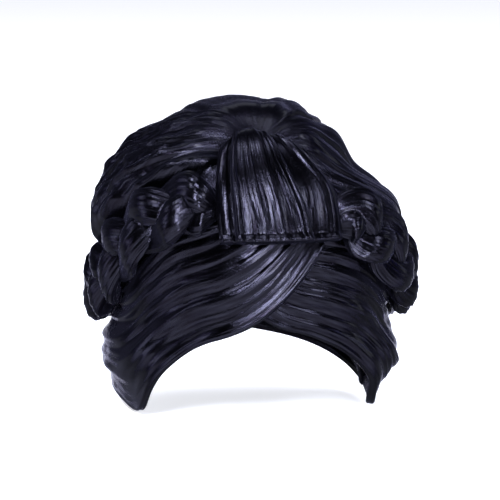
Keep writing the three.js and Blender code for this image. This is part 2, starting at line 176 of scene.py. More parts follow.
@dataclass(frozen=True)
class Form:
    """The egg-shaped form under the cloth: a superellipsoid with its own reach on each side."""

    centre: tuple[float, float, float] = (0, 4, 25)
    left: float = 82
    right: float = 88
    front: float = 100
    back: float = 102
    top: float = 107
    low: float = 149
    squareness: float = 2.3

    @staticmethod
    def direction(azimuth: Array | float, elevation: Array | float) -> Array:
        """The unit ray of an azimuth and an elevation in degrees."""
        a, e = np.broadcast_arrays(np.radians(azimuth), np.radians(elevation))
        return np.stack([np.sin(a) * np.cos(e), -np.cos(a) * np.cos(e), np.sin(e)], -1)

    @staticmethod
    def azimuth(ray: Array) -> Array:
        """The azimuth of a ray, in degrees."""
        return np.degrees(np.arctan2(ray[..., 0], -ray[..., 1]))

    @staticmethod
    def elevation(ray: Array) -> Array:
        """The elevation of a ray, in degrees."""
        return np.degrees(np.arcsin(np.clip(ray[..., 2], -1, 1)))

    @staticmethod
    def between(start: Array, end: Array, share: Array) -> Array:
        """The ray a share of the way along the great circle from start to end.

        Args:
            start: the rays at share 0.
            end: the rays at share 1.
            share: the shares of the way.

        Returns:
            Unit rays.
        """
        dot = np.clip(np.sum(start * end, -1, keepdims=True), -1, 1)
        angle = np.arccos(dot)
        ray = start * np.sin((1 - share) * angle) + end * np.sin(share * angle)
        return ray / np.linalg.norm(ray, axis=-1, keepdims=True)

    def reaches(self, ray: Array) -> Array:
        """How far the form reaches along X, Y and Z on the side that each ray points to.

        Args:
            ray: unit rays from the centre.

        Returns:
            The reaches in millimetres, three for each ray.
        """
        lows = np.array([self.left, self.front, self.low], float)
        highs = np.array([self.right, self.back, self.top], float)
        return np.where(ray < 0, lows, highs)

    def place(self, ray: Array, height: Array | float) -> Array:
        """The points at a height above the form, measured along the rays.

        The form's radius is the sum of the rays' shares of its reaches, each to the power of the
        squareness, all to the power of minus one over the squareness.

        Args:
            ray: unit rays from the centre.
            height: heights in millimetres, one for each ray.

        Returns:
            Points in millimetres.
        """
        total = np.sum(np.abs(ray / self.reaches(ray)) ** self.squareness, -1)
        radius = total ** (-1 / self.squareness) + height
        return ray * radius[..., None] + np.array(self.centre, float)

    def normal(self, ray: Array) -> Array:
        """The way out, square to the form: the slopes of the radius formula, made a unit.

        Args:
            ray: unit rays from the centre.

        Returns:
            Unit normals.
        """
        reaches = self.reaches(ray)
        slopes = np.sign(ray) * np.abs(ray / reaches) ** (self.squareness - 1) / reaches
        return slopes / np.linalg.norm(slopes, axis=-1, keepdims=True)


FORM = Form()


def grid_faces(rows: int, columns: int) -> Array:
    """The quads of a grid of rows, each a closed ring of columns.

    Args:
        rows: how many rings there are.
        columns: how many points a ring has.

    Returns:
        The corner numbers, four a face.
    """
    r, c = np.meshgrid(np.arange(rows - 1), np.arange(columns), indexing="ij")
    a, b = r * columns + c, r * columns + (c + 1) % columns
    return np.stack([a, b, b + columns, a + columns], -1).reshape(-1, 4)


def fan(ring: Array, tip: int) -> Array:
    """Triangles from each side of a ring to one tip.

    Args:
        ring: the ring's point numbers.
        tip: the tip's point number.

    Returns:
        The corner numbers, three a face.
    """
    return np.stack([ring, np.full(len(ring), tip), np.roll(ring, -1)], -1)


def make_piece(
    name: str, rings: Array, flow: Array, finish: "Finish", tips: Array | None = None
) -> bpy.types.Object:
    """Makes one closed piece from rings of points.

    Neighbouring rings are joined by quads. Each end is closed by a fan to its tip where tips are
    given, and otherwise by one face. Where the body's signed volume comes out negative, every
    face is turned round.

    Args:
        name: the piece's name.
        rings: points in millimetres, as rings by points by three.
        flow: the cloth's own coordinates at each point, the same shape as rings.
        finish: the finish that dresses it.
        tips: the first and the last end's tips, in millimetres.

    Returns:
        The new object, in the scene.
    """
    rows, columns = rings.shape[:2]
    points = rings.reshape(-1, 3)
    flows = flow.reshape(-1, 3)
    faces = grid_faces(rows, columns).tolist()
    first, last = np.arange(columns), np.arange(columns) + (rows - 1) * columns
    if tips is None:
        faces += [first[::-1].tolist(), last.tolist()]
    else:
        faces += fan(first, len(points)).tolist()
        faces += fan(last[::-1], len(points) + 1).tolist()
        points = np.concatenate([points, tips])
        flows = np.concatenate([flows, flow[[0, -1]].mean(1)])
    mesh = bpy.data.meshes.new(name)
    mesh.from_pydata((points * MM).tolist(), [], faces)
    mesh.validate()
    if signed_volume(mesh) < 0:
        mesh.flip_normals()
    mesh.shade_smooth()
    layer = mesh.attributes.new("flow", "FLOAT_VECTOR", "POINT")
    layer.data.foreach_set("vector", (flows * MM).astype(np.float32).ravel())
    mesh.materials.append(finish.material())
    piece = bpy.data.objects.new(name, mesh)
    bpy.context.scene.collection.objects.link(piece)
    return piece


def signed_volume(mesh: bpy.types.Mesh) -> float:
    """A sixth of the sum of each triangle's triple product: plus where its faces point outwards.

    Args:
        mesh: the mesh to measure.

    Returns:
        The volume in cubic metres.
    """
    mesh.calc_loop_triangles()
    corners = np.empty(len(mesh.loop_triangles) * 3, np.int32)
    mesh.loop_triangles.foreach_get("vertices", corners)
    points = np.empty(len(mesh.vertices) * 3, np.float32)
    mesh.vertices.foreach_get("co", points)
    a, b, c = points.reshape(-1, 3)[corners.reshape(-1, 3)].transpose(1, 0, 2)
    return float(np.sum(a * np.cross(b, c)) / 6)


class Sheen(Enum):
    """How glossy a stretch of the cloth is: its roughness, and how deep its grain is."""

    TIGHT = (0.18, 0.00014)
    SOFT = (0.21, 0.00016)


@dataclass(frozen=True)
class Finish:
    """Black foil-coated knit: near black, with a blue-grey gloss broken by fine pleats and grain.

    The pattern reads the piece's flow attribute, in which the way along the cloth is pressed
    short, so that noise comes out as long streaks.
    """

    name: str
    sheen: Sheen
    streaks: float = 620.0
    fine_streaks: float = 1922.0
    grain: float = 1150.0
    patches: float = 42.0
    streak_depth: float = 0.00016
    fine_depth: float = 0.00008
    worn: tuple[float, float] = (-0.05, 0.06)
    speckle: tuple[float, float] = (-0.05, 0.09)
    gloss_tint: tuple[float, float, float, float] = (0.10, 0.09, 0.14, 1.0)
    bloom_tint: tuple[float, float, float, float] = (0.62, 0.60, 0.95, 1.0)
    # Painted crease shade: the dark colour lies where the streak noise is low, in the valleys of the
    # streak bump, and the light colour on its crests.
    valley_shade: tuple[float, float, float] = (0.0018, 0.0014, 0.0025)
    light: tuple[float, float, float] = (0.0080, 0.0079, 0.0112)

    def material(self) -> bpy.types.Material:
        """Builds the finish's material once, and gives it again after that."""
        made = bpy.data.materials.get(self.name)
        return made or self.build()

    def build(self) -> bpy.types.Material:
        """Builds the material's nodes.

        Streak noise sets the colour and worn patches the roughness; the colour is painted shade,
        darker where the streaks are low, in the valleys of their own bump. Streaks, a finer pleat
        and the grain of the coating add up to the bump.

        Returns:
            The material.
        """
        material = bpy.data.materials.new(self.name)
        material.use_nodes = True
        tree = material.node_tree
        shader = tree.nodes["Principled BSDF"]
        flow = tree.nodes.new("ShaderNodeAttribute")
        flow.attribute_name = "flow"
        place = tree.nodes.new("ShaderNodeTexCoord")
        streak = self.noise(tree, flow.outputs["Vector"], self.streaks, 3.0)
        fine = self.noise(tree, flow.outputs["Vector"], self.fine_streaks, 2.0)
        grain = self.noise(tree, place.outputs["Object"], self.grain, 2.0)
        patch = self.noise(tree, place.outputs["Object"], self.patches, 3.0)
        roughness, depth = self.sheen.value
        # Painted shade: the ramp darkens the base colour where the streak bump is low, in its valleys, and
        # lightens it on the crests.
        self.ramp(tree, streak, (0.32, self.valley_shade), (0.72, self.light), shader.inputs["Base Color"])
        target = (roughness + self.worn[0], roughness + self.worn[1])
        worn = self.span(tree, patch, (0.3, 0.7), target)
        speck = self.span(tree, grain, (0.3, 0.7), self.speckle)
        self.link_sum(tree, worn, speck, shader.inputs["Roughness"])
        height = self.span(tree, streak, (0.25, 0.75), (0.0, 1.0))
        first = self.bump(tree, height, self.streak_depth, None)
        second = self.bump(tree, fine, self.fine_depth, first)
        third = self.bump(tree, grain, depth, second)
        tree.links.new(third, shader.inputs["Normal"])
        shader.inputs["Metallic"].default_value = 1.0
        shader.inputs["Specular Tint"].default_value = self.gloss_tint
        shader.inputs["Coat Weight"].default_value = 0.03
        shader.inputs["Coat Roughness"].default_value = 0.18
        shader.inputs["Sheen Weight"].default_value = 0.02
        shader.inputs["Sheen Roughness"].default_value = 0.4
        shader.inputs["Sheen Tint"].default_value = self.bloom_tint
        return material

    @staticmethod
    def noise(
        tree: bpy.types.NodeTree, vector: bpy.types.NodeSocket, scale: float, detail: float
    ) -> bpy.types.NodeSocket:
        """Adds a noise texture.

        Args:
            tree: the material's nodes.
            vector: the coordinates it reads.
            scale: cells a metre.
            detail: how many octaves it adds.

        Returns:
            The noise's value.
        """
        node = tree.nodes.new("ShaderNodeTexNoise")
        node.inputs["Scale"].default_value = scale
        node.inputs["Detail"].default_value = detail
        tree.links.new(vector, node.inputs["Vector"])
        return node.outputs["Fac"]

    @staticmethod
    def ramp(
        tree: bpy.types.NodeTree,
        value: bpy.types.NodeSocket,
        low: tuple[float, tuple[float, float, float]],
        high: tuple[float, tuple[float, float, float]],
        target: bpy.types.NodeSocket,
    ) -> None:
        """Adds a ramp between two colours and links it to a socket.

        Args:
            tree: the material's nodes.
            value: the value that picks the colour.
            low: the place and the colour of the ramp's start.
            high: the place and the colour of its end.
            target: the socket that takes the colour.
        """
        node = tree.nodes.new("ShaderNodeValToRGB")
        for element, (at, colour) in zip(node.color_ramp.elements, (low, high)):
            element.position = at
            element.color = (*colour, 1.0)
        tree.links.new(value, node.inputs["Fac"])
        tree.links.new(node.outputs["Color"], target)

    @staticmethod
    def span(
        tree: bpy.types.NodeTree,
        value: bpy.types.NodeSocket,
        source: tuple[float, float],
        target: tuple[float, float],
    ) -> bpy.types.NodeSocket:
        """Adds a node that spreads one span of values over another.

        Args:
            tree: the material's nodes.
            value: the value to spread.
            source: the span it comes from.
            target: the span it goes to.

        Returns:
            The spread value.
        """
        node = tree.nodes.new("ShaderNodeMapRange")
        for name, number in zip(("From Min", "From Max", "To Min", "To Max"), (*source, *target)):
            node.inputs[name].default_value = number
        tree.links.new(value, node.inputs["Value"])
        return node.outputs["Result"]

    @staticmethod
    def link_sum(
        tree: bpy.types.NodeTree,
        first: bpy.types.NodeSocket,
        second: bpy.types.NodeSocket,
        target: bpy.types.NodeSocket,
    ) -> None:
        """Links the sum of two values to a socket.

        Args:
            tree: the material's nodes.
            first: one value.
            second: the other value.
            target: the socket that takes the sum.
        """
        node = tree.nodes.new("ShaderNodeMath")
        node.operation = "ADD"
        tree.links.new(first, node.inputs[0])
        tree.links.new(second, node.inputs[1])
        tree.links.new(node.outputs[0], target)

    @staticmethod
    def bump(
        tree: bpy.types.NodeTree,
        height: bpy.types.NodeSocket,
        distance: float,
        under: bpy.types.NodeSocket | None,
    ) -> bpy.types.NodeSocket:
        """Adds a bump.

        Args:
            tree: the material's nodes.
            height: the height that it follows.
            distance: how deep it is, in metres.
            under: the bump that it is laid on, if there is one.

        Returns:
            The bumped normal.
        """
        node = tree.nodes.new("ShaderNodeBump")
        node.inputs["Distance"].default_value = distance
        tree.links.new(height, node.inputs["Height"])
        if under:
            tree.links.new(under, node.inputs["Normal"])
        return node.outputs["Normal"]


TIGHT_CLOTH = Finish("foil_cloth_tight", Sheen.TIGHT)
SOFT_CLOTH = Finish("foil_cloth_soft", Sheen.SOFT)

HEM = Table(
    "elevation",
    (-180, -27.5), (-145, -33), (-110, -43), (-85, -47), (-62, -46), (-41, -29.5), (-24, -20),
    (-7, -13), (15, -18.3), (30, -24.5), (44, -33), (60, -45.5), (85, -47), (110, -43),
    (145, -33), (180, -27.5),
)

BRAID_ROUTE = Table(
    "azimuth elevation size",
    (0, -19.5, 28, 0.34), (0.02, -24.5, 28.5, 0.86), (0.05, -32, 28, 1), (0.09, -43, 24.5, 1),
    (0.15, -60, 14.5, 1), (0.22, -79, 1, 1), (0.3, -100, -7.5, 1), (0.39, -130, -10.5, 1),
    (0.5, -180, -11, 1), (0.61, -230, -10.5, 1), (0.7, -260, -8.5, 1), (0.78, -282, -3.5, 1),
    (0.86, -303, 5.5, 1), (0.93, -320, 17, 1), (0.965, -327, 21, 1), (0.985, -332.5, 22.5, 0.78),
    (1, -337, 21.5, 0.3),
)


def braid_elevation(azimuth: Array) -> Array:
    """The elevation of the braid's centre line, held to its ends under the tab.

    Args:
        azimuth: the azimuths to read, in degrees.

    Returns:
        The elevation at each, in degrees.
    """
    route = BRAID_ROUTE.columns
    curve = Table("elevation", *zip(-route["azimuth"], route["elevation"]))
    way_round = np.where(azimuth > route["azimuth"][0], 360 - azimuth, -azimuth)
    return curve.read("elevation", way_round)


@dataclass
class Crown:
    """The puffed cap: pleats fan out from the knot at the front of the top and run to the hem."""

    knot: tuple[float, float] = (-3, 55)
    columns: int = 576
    rows: int = 150
    inner_rows: int = 14
    thickness: float = 2.5
    hem_rise: float = 3
    hem_inset: float = 3
    shelf: float = 4.2
    shelf_start: tuple[float, float] = (3, 7)
    puff_start: tuple[float, float] = (9.5, 17)
    puff_spread: tuple[float, float] = (0.03, 0.25)
    side_blend: float = 0.4
    knot_roll: float = 9.5
    lap_fall: float = 2.6
    flow_radius: float = 90
    flow_length: float = 14
    puff: Table = Table(
        "left right",
        (-50, 0, 0), (10, 10, 8), (22, 18, 12), (43, 12, -7), (59, 5, 0), (90, 4, 5),
    )
    lines: Table = Table(
        "azimuth",
        (-180, -184), (-145, -162), (-114, -145), (-73, -110), (-54, -85), (-40, -60), (-20, -24),
        (17, 15), (38, 44), (58, 85), (77, 110), (121, 145), (150, 162), (180, 176),
    )
    folds: tuple[tuple[float, float, float], ...] = (
        (-172, 26, 3), (-142, 12, 3), (-124, 13, 4), (-106, 12, 3), (-90, 12, 4), (-68, 14, 4),
        (60, 14, 3), (80, 12, 3), (100, 12, 4), (120, 12, 4), (139, 12, -3), (158, 14, 3),
    )
    laps: tuple[tuple[float, float, float, float, float], ...] = (
        (-60, -78, 6.5, 14, 0.06), (-84, -92, 3.0, 8, 0.12), (-101, -112, 3.4, 8, 0.1),
        (-120, -132, 3.0, 9, 0.1), (70, 74, 2.6, 9, 0.1), (88, 92, 3.0, 9, 0.1),
        (108, 112, 3.2, 10, 0.08), (131, 141, 4.4, 12, 0.02), (-152, -160, 1.6, 10, 0.1),
    )

    def lap_height(self, bearing: Array, share: Array) -> Array:
        """The folds that lap over their neighbours.

        Each row gives the edge's bearing near the knot and further out, its height, how far back
        it rises, and the share of the way to the hem where it starts. On the left the cloth above
        laps over the cloth below, and on the right too, so the fall faces the front.

        Args:
            bearing: the bearing at the knot, in degrees.
            share: the share of the way from the knot to the hem.

        Returns:
            The height in millimetres.
        """
        total = np.zeros_like(bearing)
        for near, far, height, slope, start in self.laps:
            edge = near + (far - near) * smooth(0.12, 0.42, share)
            side = 1 if near < 0 else -1
            past = side * turned(bearing - edge)
            fade = smooth(start, start + 0.12, share) * (1 - smooth(0.44, 0.72, share))
            total += height * fade * lip(past, slope, self.lap_fall)
        return total

    def over_braid(self, ray: Array) -> Array:
        """How far each ray points above the braid's centre line, in degrees."""
        return FORM.elevation(ray) - braid_elevation(FORM.azimuth(ray))

    def puff_height(self, ray: Array) -> Array:
        """The puff of the cap, read for the left and the right and blended across the middle.

        Args:
            ray: the directions.

        Returns:
            The height in millimetres.
        """
        elevation = FORM.elevation(ray)
        left, right = self.puff.read("left", elevation), self.puff.read("right", elevation)
        return left + (right - left) * smooth(-self.side_blend, self.side_blend, ray[..., 0])

    def height(self, ray: Array, bearing: Array, share: Array) -> Array:
        """How far the outside stands above the form.

        It is nothing under the bands and a low shelf behind the braid, and there is a smooth roll
        behind the top of the tab. Above the braid it is the puff of that side, plus the broad
        folds, the laps, two sizes of pleat and the rumples of one side, which all fade out
        towards the knot.

        Args:
            ray: the directions.
            bearing: the bearing at the knot of each, in degrees.
            share: the share of the way from the knot to the hem of each.

        Returns:
            The height in millimetres.
        """
        over_braid = self.over_braid(ray)
        above = smooth(*self.puff_start, over_braid)
        shelf = self.shelf * smooth(*self.shelf_start, over_braid) * (1 - above)
        away = smooth(*self.puff_spread, share)
        puff = self.puff_height(ray)
        fold = sum(height * ridge(turned(bearing - at), width) for at, width, height in self.folds)
        u = (bearing + 180) / 360
        room = smooth(0.0, 0.42, share)
        rumpled = ridge(bearing + 108, 62)
        quiet = 1 - 0.75 * ridge(turned(bearing + 176), 36)
        gathers = 2.7 * pleats(u, share, 30, 11, 0.6, True) + pleats(u, share, 74, 12, 0.6, True)
        broad = 2.3 * crumple(u, share, 56, 22, 13, True)
        fine = 0.9 * crumple(u, share, 104, 46, 14, True)
        detail = room * quiet * (gathers + rumpled * (broad + fine))
        bent = self.lap_height(bearing, share)
        inset = self.hem_inset * smooth(0.9, 1, share)
        roll = self.knot_roll * ridge(share - 0.1, 0.12) * smooth(0, 0.03, share)
        roll = roll * smooth(66, 118, np.abs(bearing))
        cloth = away * (puff + fold) + smooth(0.02, 0.14, share) * (bent + detail)
        return above * cloth + shelf + roll - inset

    def build(self) -> list[bpy.types.Object]:
        """Builds the crown: rings round the knot, out to the hem outside and back inside.

        Returns:
            The crown's one piece.
        """
        bearing = -180 + 360 * np.arange(self.columns) / self.columns
        azimuth = self.lines.read("azimuth", bearing)
        hem_at = np.where(azimuth < -180, azimuth + 360, azimuth)
        rim = FORM.direction(azimuth, HEM.read("elevation", hem_at) + self.hem_rise)
        knot = FORM.direction(*self.knot)
        outer = ((np.arange(self.rows) + 1) / self.rows) ** 0.9
        inner = ((np.arange(self.inner_rows, 0, -1)) / self.inner_rows) ** 0.9
        bearings, outers = np.meshgrid(bearing, outer)
        rays = FORM.between(knot, rim[None], outers[..., None])
        outside = FORM.place(rays, self.height(rays, bearings, outers))
        inner_bearings, inners = np.meshgrid(bearing, inner)
        inner_rays = FORM.between(knot, rim[None], inners[..., None])
        inset = self.hem_inset * smooth(0.9, 1, inners)
        plain = smooth(*self.puff_start, self.over_braid(inner_rays))
        puff = plain * smooth(*self.puff_spread, inners) * self.puff_height(inner_rays)
        inside = FORM.place(inner_rays, puff - inset - self.thickness)
        turn = np.radians(np.concatenate([bearings, inner_bearings]))
        share = np.concatenate([outers, inners])
        around = self.flow_radius * np.stack([np.cos(turn), np.sin(turn)], -1)
        flow = np.concatenate([around, self.flow_length * share[..., None]], -1)
        tips = np.stack([FORM.place(knot, 0), FORM.place(knot, -self.thickness)])
        crown = make_piece("crown_cap", np.concatenate([outside, inside]), flow, SOFT_CLOTH, tips)
        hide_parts("crown")
        return [crown]


@dataclass
class Band:
    """A pleated band of cloth from the nape round one side to the crossing at the front."""

    name: str
    node: str
    edges: Table
    folds: tuple[tuple[float, float, float], ...]
    lift: Callable[[Array], Array]
    flat: tuple[float, float]
    seed: int
    steps: int = 250
    rows: int = 220
    back_rows: int = 14
    thickness: float = 2.5
    gap: float = 0.8
    narrowing: float = 0.5
    edge_roll: float = 1.3
    edge_drop: float = 0.9
    flow_width: float = 70
    flow_length: float = 26
    bulge: Table = Table(
        "left right",
        (-50, 7, 2), (-40, 11, 5), (-31, 12, 10), (-25, 9, 9), (-20, 2, 2), (-16, 0, 0), (90, 0, 0),
    )

    def bulge_height(self, ray: Array) -> Array:
        """How far the cloth bulges at each side of the head, fading to the front and the nape.

        Args:
            ray: the directions.

        Returns:
            The height in millimetres.
        """
        elevation, azimuth = FORM.elevation(ray), np.abs(FORM.azimuth(ray))
        left, right = self.bulge.read("left", elevation), self.bulge.read("right", elevation)
        beside = smooth(22, 52, azimuth) * (1 - smooth(110, 160, azimuth))
        return beside * (left + (right - left) * smooth(-0.4, 0.4, ray[..., 0]))

    def pleat_height(self, across: Array, at: Array) -> Array:
        """The broad folds and three sizes of pleat, lower where the band narrows to the tab.

        Args:
            across: the share of the way from the lower edge to the upper one.
            at: the share of the way from the nape to the front.

        Returns:
            The height above the plain cloth, in millimetres.
        """
        narrow = 1 + (self.narrowing - 1) * smooth(0.6, 1, at)
        drift = across + 0.035 * crumple(across, at, 3, 6, self.seed + 7)
        fold = sum(height * ridge(drift - place, width) for place, width, height in self.folds)
        patchy = smooth(-0.3, 0.6, crumple(across, at, 4, 6, self.seed + 9))
        detail = (
            2.1 * pleats(drift, at, 7, self.seed, 0.6)
            + 0.5 * pleats(drift, at, 16, self.seed + 2, 0.55)
            + 0.3 * patchy * pleats(drift, at, 38, self.seed + 4, 0.5)
            + 0.25 * crumple(across, at, 20, 30, self.seed + 6)
        )
        edge = smooth(0, 0.03, across) * (1 - smooth(0.97, 1, across))
        roll = self.edge_roll * ridge(across - 0.035, 0.04)
        fine = (0.35 + 0.65 * narrow) * detail * edge
        return narrow * fold + fine + roll - self.edge_drop * (1 - edge)

    def build(self) -> list[bpy.types.Object]:
        """Builds the band: at each step a ring up its front face and down its back.

        Returns:
            The band's one piece.
        """
        at = np.linspace(0, 1, self.steps)
        low = FORM.direction(self.edges.read("low_azimuth", at), self.edges.read("low_elevation", at))
        high = FORM.direction(self.edges.read("high_azimuth", at), self.edges.read("high_elevation", at))
        faces, flows = [], []
        for count, front in ((self.rows, True), (self.back_rows, False)):
            across, along = np.meshgrid(np.linspace(0, 1, count), at)
            rays = FORM.between(low[:, None], high[:, None], across[..., None])
            height = self.gap + self.lift(rays) + self.bulge_height(rays)
            if front:
                height = height + self.thickness + self.pleat_height(across, along)
            face = FORM.place(rays, height)
            side = np.full_like(across, 0.0 if front else BACK_FLOW)
            flow = np.stack([self.flow_width * across, side, self.flow_length * along], -1)
            faces.append(face if front else face[:, ::-1])
            flows.append(flow if front else flow[:, ::-1])
        band = make_piece(self.name, np.concatenate(faces, 1), np.concatenate(flows, 1), TIGHT_CLOTH)
        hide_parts(self.node)
        return [band]


def crossing_lift(ray: Array) -> Array:
    """The rise of the over wrap where the under wrap's end lies beneath it."""
    slanted = FORM.azimuth(ray) - 0.5 * np.maximum(0, FORM.elevation(ray))
    return CROSSING_LIFT * smooth(-32, -14, slanted) * (1 - smooth(60, 90, slanted))


def no_lift(ray: Array) -> Array:
    """Nothing: the under wrap lies on the crown all the way."""
    return np.zeros(ray.shape[:-1])


@dataclass
class Braid:
    """Three gathered strands, plaited round the head from one side of the tab to the other."""

    count: int = 3
    sweep: float = 10.5
    sink: float = 4.2
    half_width: float = 14
    half_thickness: float = 6.5
    strand_gap: float = 0.5
    height: float = 14.8
    end_height: float = 8.5
    turns: int = 5
    steps: int = 420
    sides: int = 112
    softness: float = 0.1
    twist: float = 0.9
    swell: float = 0.07
    fullness: float = 0.95
    flow_radius: float = 11
    flow_length: float = 60

    def middle(self, phase: Array, number: int) -> Array:
        """The middle of a strand across the braid, in half widths and half thicknesses.

        It swings from side to side as the sine of the phase and sinks and rises as the sine of
        twice the phase, a third of a turn behind its neighbour.

        Args:
            phase: the braid's phase in radians.
            number: which strand it is.

        Returns:
            The middle at each phase, as pairs.
        """
        turn = phase + number * 2 * np.pi / self.count
        sideways = self.sweep * np.sin(turn) / self.half_width
        return np.stack([sideways, self.sink * np.sin(2 * turn) / self.half_thickness], -1)

    def pressed(self, spot: Array, own: Array, other: Array, unit: Array) -> Array:
        """Flattens a section where it presses on a neighbour, at the line midway between them.

        Each point past the line goes back to it, by half of the way past plus the root of that
        way's square and the softness squared, so that the corner stays round.

        Args:
            spot: the section's points.
            own: its middle.
            other: the neighbour's middle.
            unit: the size of a half thickness, in millimetres.

        Returns:
            The flattened points.
        """
        towards = other - own
        length = np.linalg.norm(towards, axis=-1, keepdims=True)
        towards = towards / length
        reach = length / 2 - self.strand_gap / 2 / unit
        past = np.sum((spot - own[:, None]) * towards[:, None], -1) - reach
        back = 0.5 * (past + np.sqrt(past**2 + self.softness**2)) - self.softness / 2
        return spot - np.maximum(back, 0)[..., None] * towards[:, None]

    def strand(self, number: int) -> bpy.types.Object:
        """Builds one strand: oval sections square to the braid's line, with gathers along them.

        The gathers are pleats by the angle round the section, which turn slowly along the strand
        and grow where it is gathered under the tab.

        Args:
            number: which strand it is.

        Returns:
            The strand.
        """
        at = np.linspace(0, 1, self.steps)
        ray = self.ray(at)
        size = BRAID_ROUTE.read("size", at)
        height = self.end_height + (self.height - self.end_height) * smooth(0.3, 1, size)
        ahead = self.ray(np.minimum(1, at + 1e-3)) - self.ray(np.maximum(0, at - 1e-3))
        up = FORM.normal(ray)
        across = np.cross(ahead, up)
        across /= np.linalg.norm(across, axis=-1, keepdims=True)
        phase = at * self.turns * 2 * np.pi
        own = self.middle(phase, number)
        angle = 2 * np.pi * (np.arange(self.sides) + 0.5) / self.sides
        around, along = np.meshgrid(angle / (2 * np.pi), at)
        wound = around + self.twist * along
        gathers = (
            0.085 * pleats(wound, along * 2 % 1, 11, 31 + number, 0.6, True)
            + 0.04 * pleats(wound, along * 2 % 1, 27, 41 + number, 0.55, True)
            + 0.05 * crumple(around, along, 9, 60, 51 + number, True)
        )
        swell = 1 + self.swell * np.sin(2 * phase + number * 4 * np.pi / 3)[:, None]
        radius = (self.fullness * swell + gathers - 0.05)[..., None]
        spot = radius * np.stack([np.cos(angle), np.sin(angle)], -1)[None] + own[:, None]
        unit = (self.half_thickness * size)[:, None]
        for other in range(self.count):
            if other != number:
                spot = self.pressed(spot, own, self.middle(phase, other), unit)
        centre = FORM.place(ray, 0) + up * height[:, None]
        wide = (self.half_width * size)[:, None, None] * across[:, None]
        tall = (self.half_thickness * size)[:, None, None] * up[:, None]
        rings = centre[:, None] + spot[..., :1] * wide + spot[..., 1:] * tall
        turn = 2 * np.pi * wound
        round_strand = self.flow_radius * np.stack([np.cos(turn), np.sin(turn)], -1)
        flow = np.concatenate([round_strand, self.flow_length * along[..., None]], -1)
        tips = np.stack([rings[0].mean(0), rings[-1].mean(0)])
        strand = make_piece(f"strand_{number + 1}", rings, flow, TIGHT_CLOTH, tips)
        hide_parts(f"braid_strand_{number + 1}")
        return strand

    @staticmethod
    def ray(at: Array) -> Array:
        """The direction of the braid's centre line at a share of its way."""
        return FORM.direction(BRAID_ROUTE.read("azimuth", at), BRAID_ROUTE.read("elevation", at))

    def build(self) -> list[bpy.types.Object]:
        """Builds the strands in order."""
        return [self.strand(number) for number in range(self.count)]


@dataclass
class TabPanel:
    """One layer of the front tab, hanging from the knot to its rolled lower edge."""

    name: str
    node: str
    edges: Table
    flat: tuple[float, float]
    seed: int
    steps: int = 150
    rows: int = 170
    thickness: float = 2.5
    arch_drop: float = 6
    arch_reach: float = 0.96
    pleat: float = 0.4
    roll: float = 2.2
    side_roll: float = 1.2
    edge_drop: float = 0.9
    back_rows: int = 24
    flow_width: float = 60
    flow_length: float = 7

    def depth(self, across: Array, at: Array) -> Array:
        """How far the front face stands off the back one.

        The cloth's thickness is joined by upright pleats, a roll inside each side edge, a broad
        ridge right of the middle, a puckered roll along the lower edge, and a drop at both sides.

        Args:
            across: the share of the way from the left edge to the right one.
            at: the share of the way down.

        Returns:
            The depth in millimetres.
        """
        upright = self.pleat * (
            pleats(across, at, 7, self.seed, 0.62)
            + 0.45 * pleats(across, at, 17, self.seed + 2, 0.55)
            + 0.2 * pleats(across, at, 41, self.seed + 4, 0.5)
        )
        rolls = self.side_roll * (ridge(across - 0.07, 0.07) + ridge(across - 0.93, 0.07))
        upright = upright + rolls + ridge(across - 0.62, 0.13)
        low = smooth(0.86, 0.93, at) * (1 - smooth(0.965, 1, at))
        puckers = 0.45 * crumple(across, at, 46, 30, self.seed + 6)
        side = smooth(0, 0.035, across) * (1 - smooth(0.965, 1, across))
        bottom = 1 - smooth(0.975, 1, at)
        hem = low * (self.roll + puckers)
        return self.thickness + side * bottom * upright + hem - self.edge_drop * (1 - side)

    def build(self) -> list[bpy.types.Object]:
        """Builds the panel: at each step down a ring along its front face and back behind.

        Its top drops away to both sides as an arch, by one minus the root of one minus the square
        of the share of the half width.

        Returns:
            The panel's one piece.
        """
        at = np.linspace(0, 1, self.steps)
        faces, flows = [], []
        for count, front in ((self.rows, True), (self.back_rows, False)):
            across, along = np.meshgrid(np.linspace(0, 1, count), at)
            left, right = self.edges.read("left", along), self.edges.read("right", along)
            roundness = 1 - np.sqrt(1 - (self.arch_reach * (2 * across - 1)) ** 2)
            arch = self.arch_drop * roundness * (1 - smooth(0, 0.3, along))
            elevation = self.edges.read("elevation", along) - arch
            ray = FORM.direction(left + (right - left) * across, elevation)
            inner = self.edges.read("inner", along)
            face = FORM.place(ray, inner + self.depth(across, along) if front else inner)
            side = np.full_like(across, 0.0 if front else BACK_FLOW)
            flow = np.stack([self.flow_width * across, side, self.flow_length * along], -1)
            faces.append(face if front else face[:, ::-1])
            flows.append(flow if front else flow[:, ::-1])
        panel = make_piece(self.name, np.concatenate(faces, 1), np.concatenate(flows, 1), TIGHT_CLOTH)
        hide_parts(self.node)
        return [panel]


OVER_EDGES = Table(
    "low_azimuth low_elevation high_azimuth high_elevation",
    (0, -180.03, -27.5, -180.03, -9), (0.15, -145, -33, -145, -9), (0.3, -110, -43, -112, -8),
    (0.42, -84, -47, -88, -5), (0.52, -62, -46, -70, 1.5), (0.62, -41, -29.5, -56, 9.5),
    (0.72, -24, -20, -42, 19), (0.8, -7, -13, -31, 23), (0.87, 4, -4.5, -22, 25),
    (0.94, 14, 7, -14, 26), (1, 21.5, 18, -6, 26),
)
UNDER_EDGES = Table(
    "low_azimuth low_elevation high_azimuth high_elevation",
    (0, 180.03, -27.5, 180.03, -9), (0.15, 145, -33, 145, -9), (0.3, 110, -43, 112, -8),
    (0.42, 84, -47, 86, -6), (0.52, 60, -45.5, 68, 0), (0.62, 44, -33, 53, 7),
    (0.72, 30, -24.5, 42, 14), (0.8, 15, -18.3, 33, 19), (0.88, 3, -15, 24, 21),
    (0.94, -5, -11, 14, 21), (1, -13, -8, 2, 16),
)
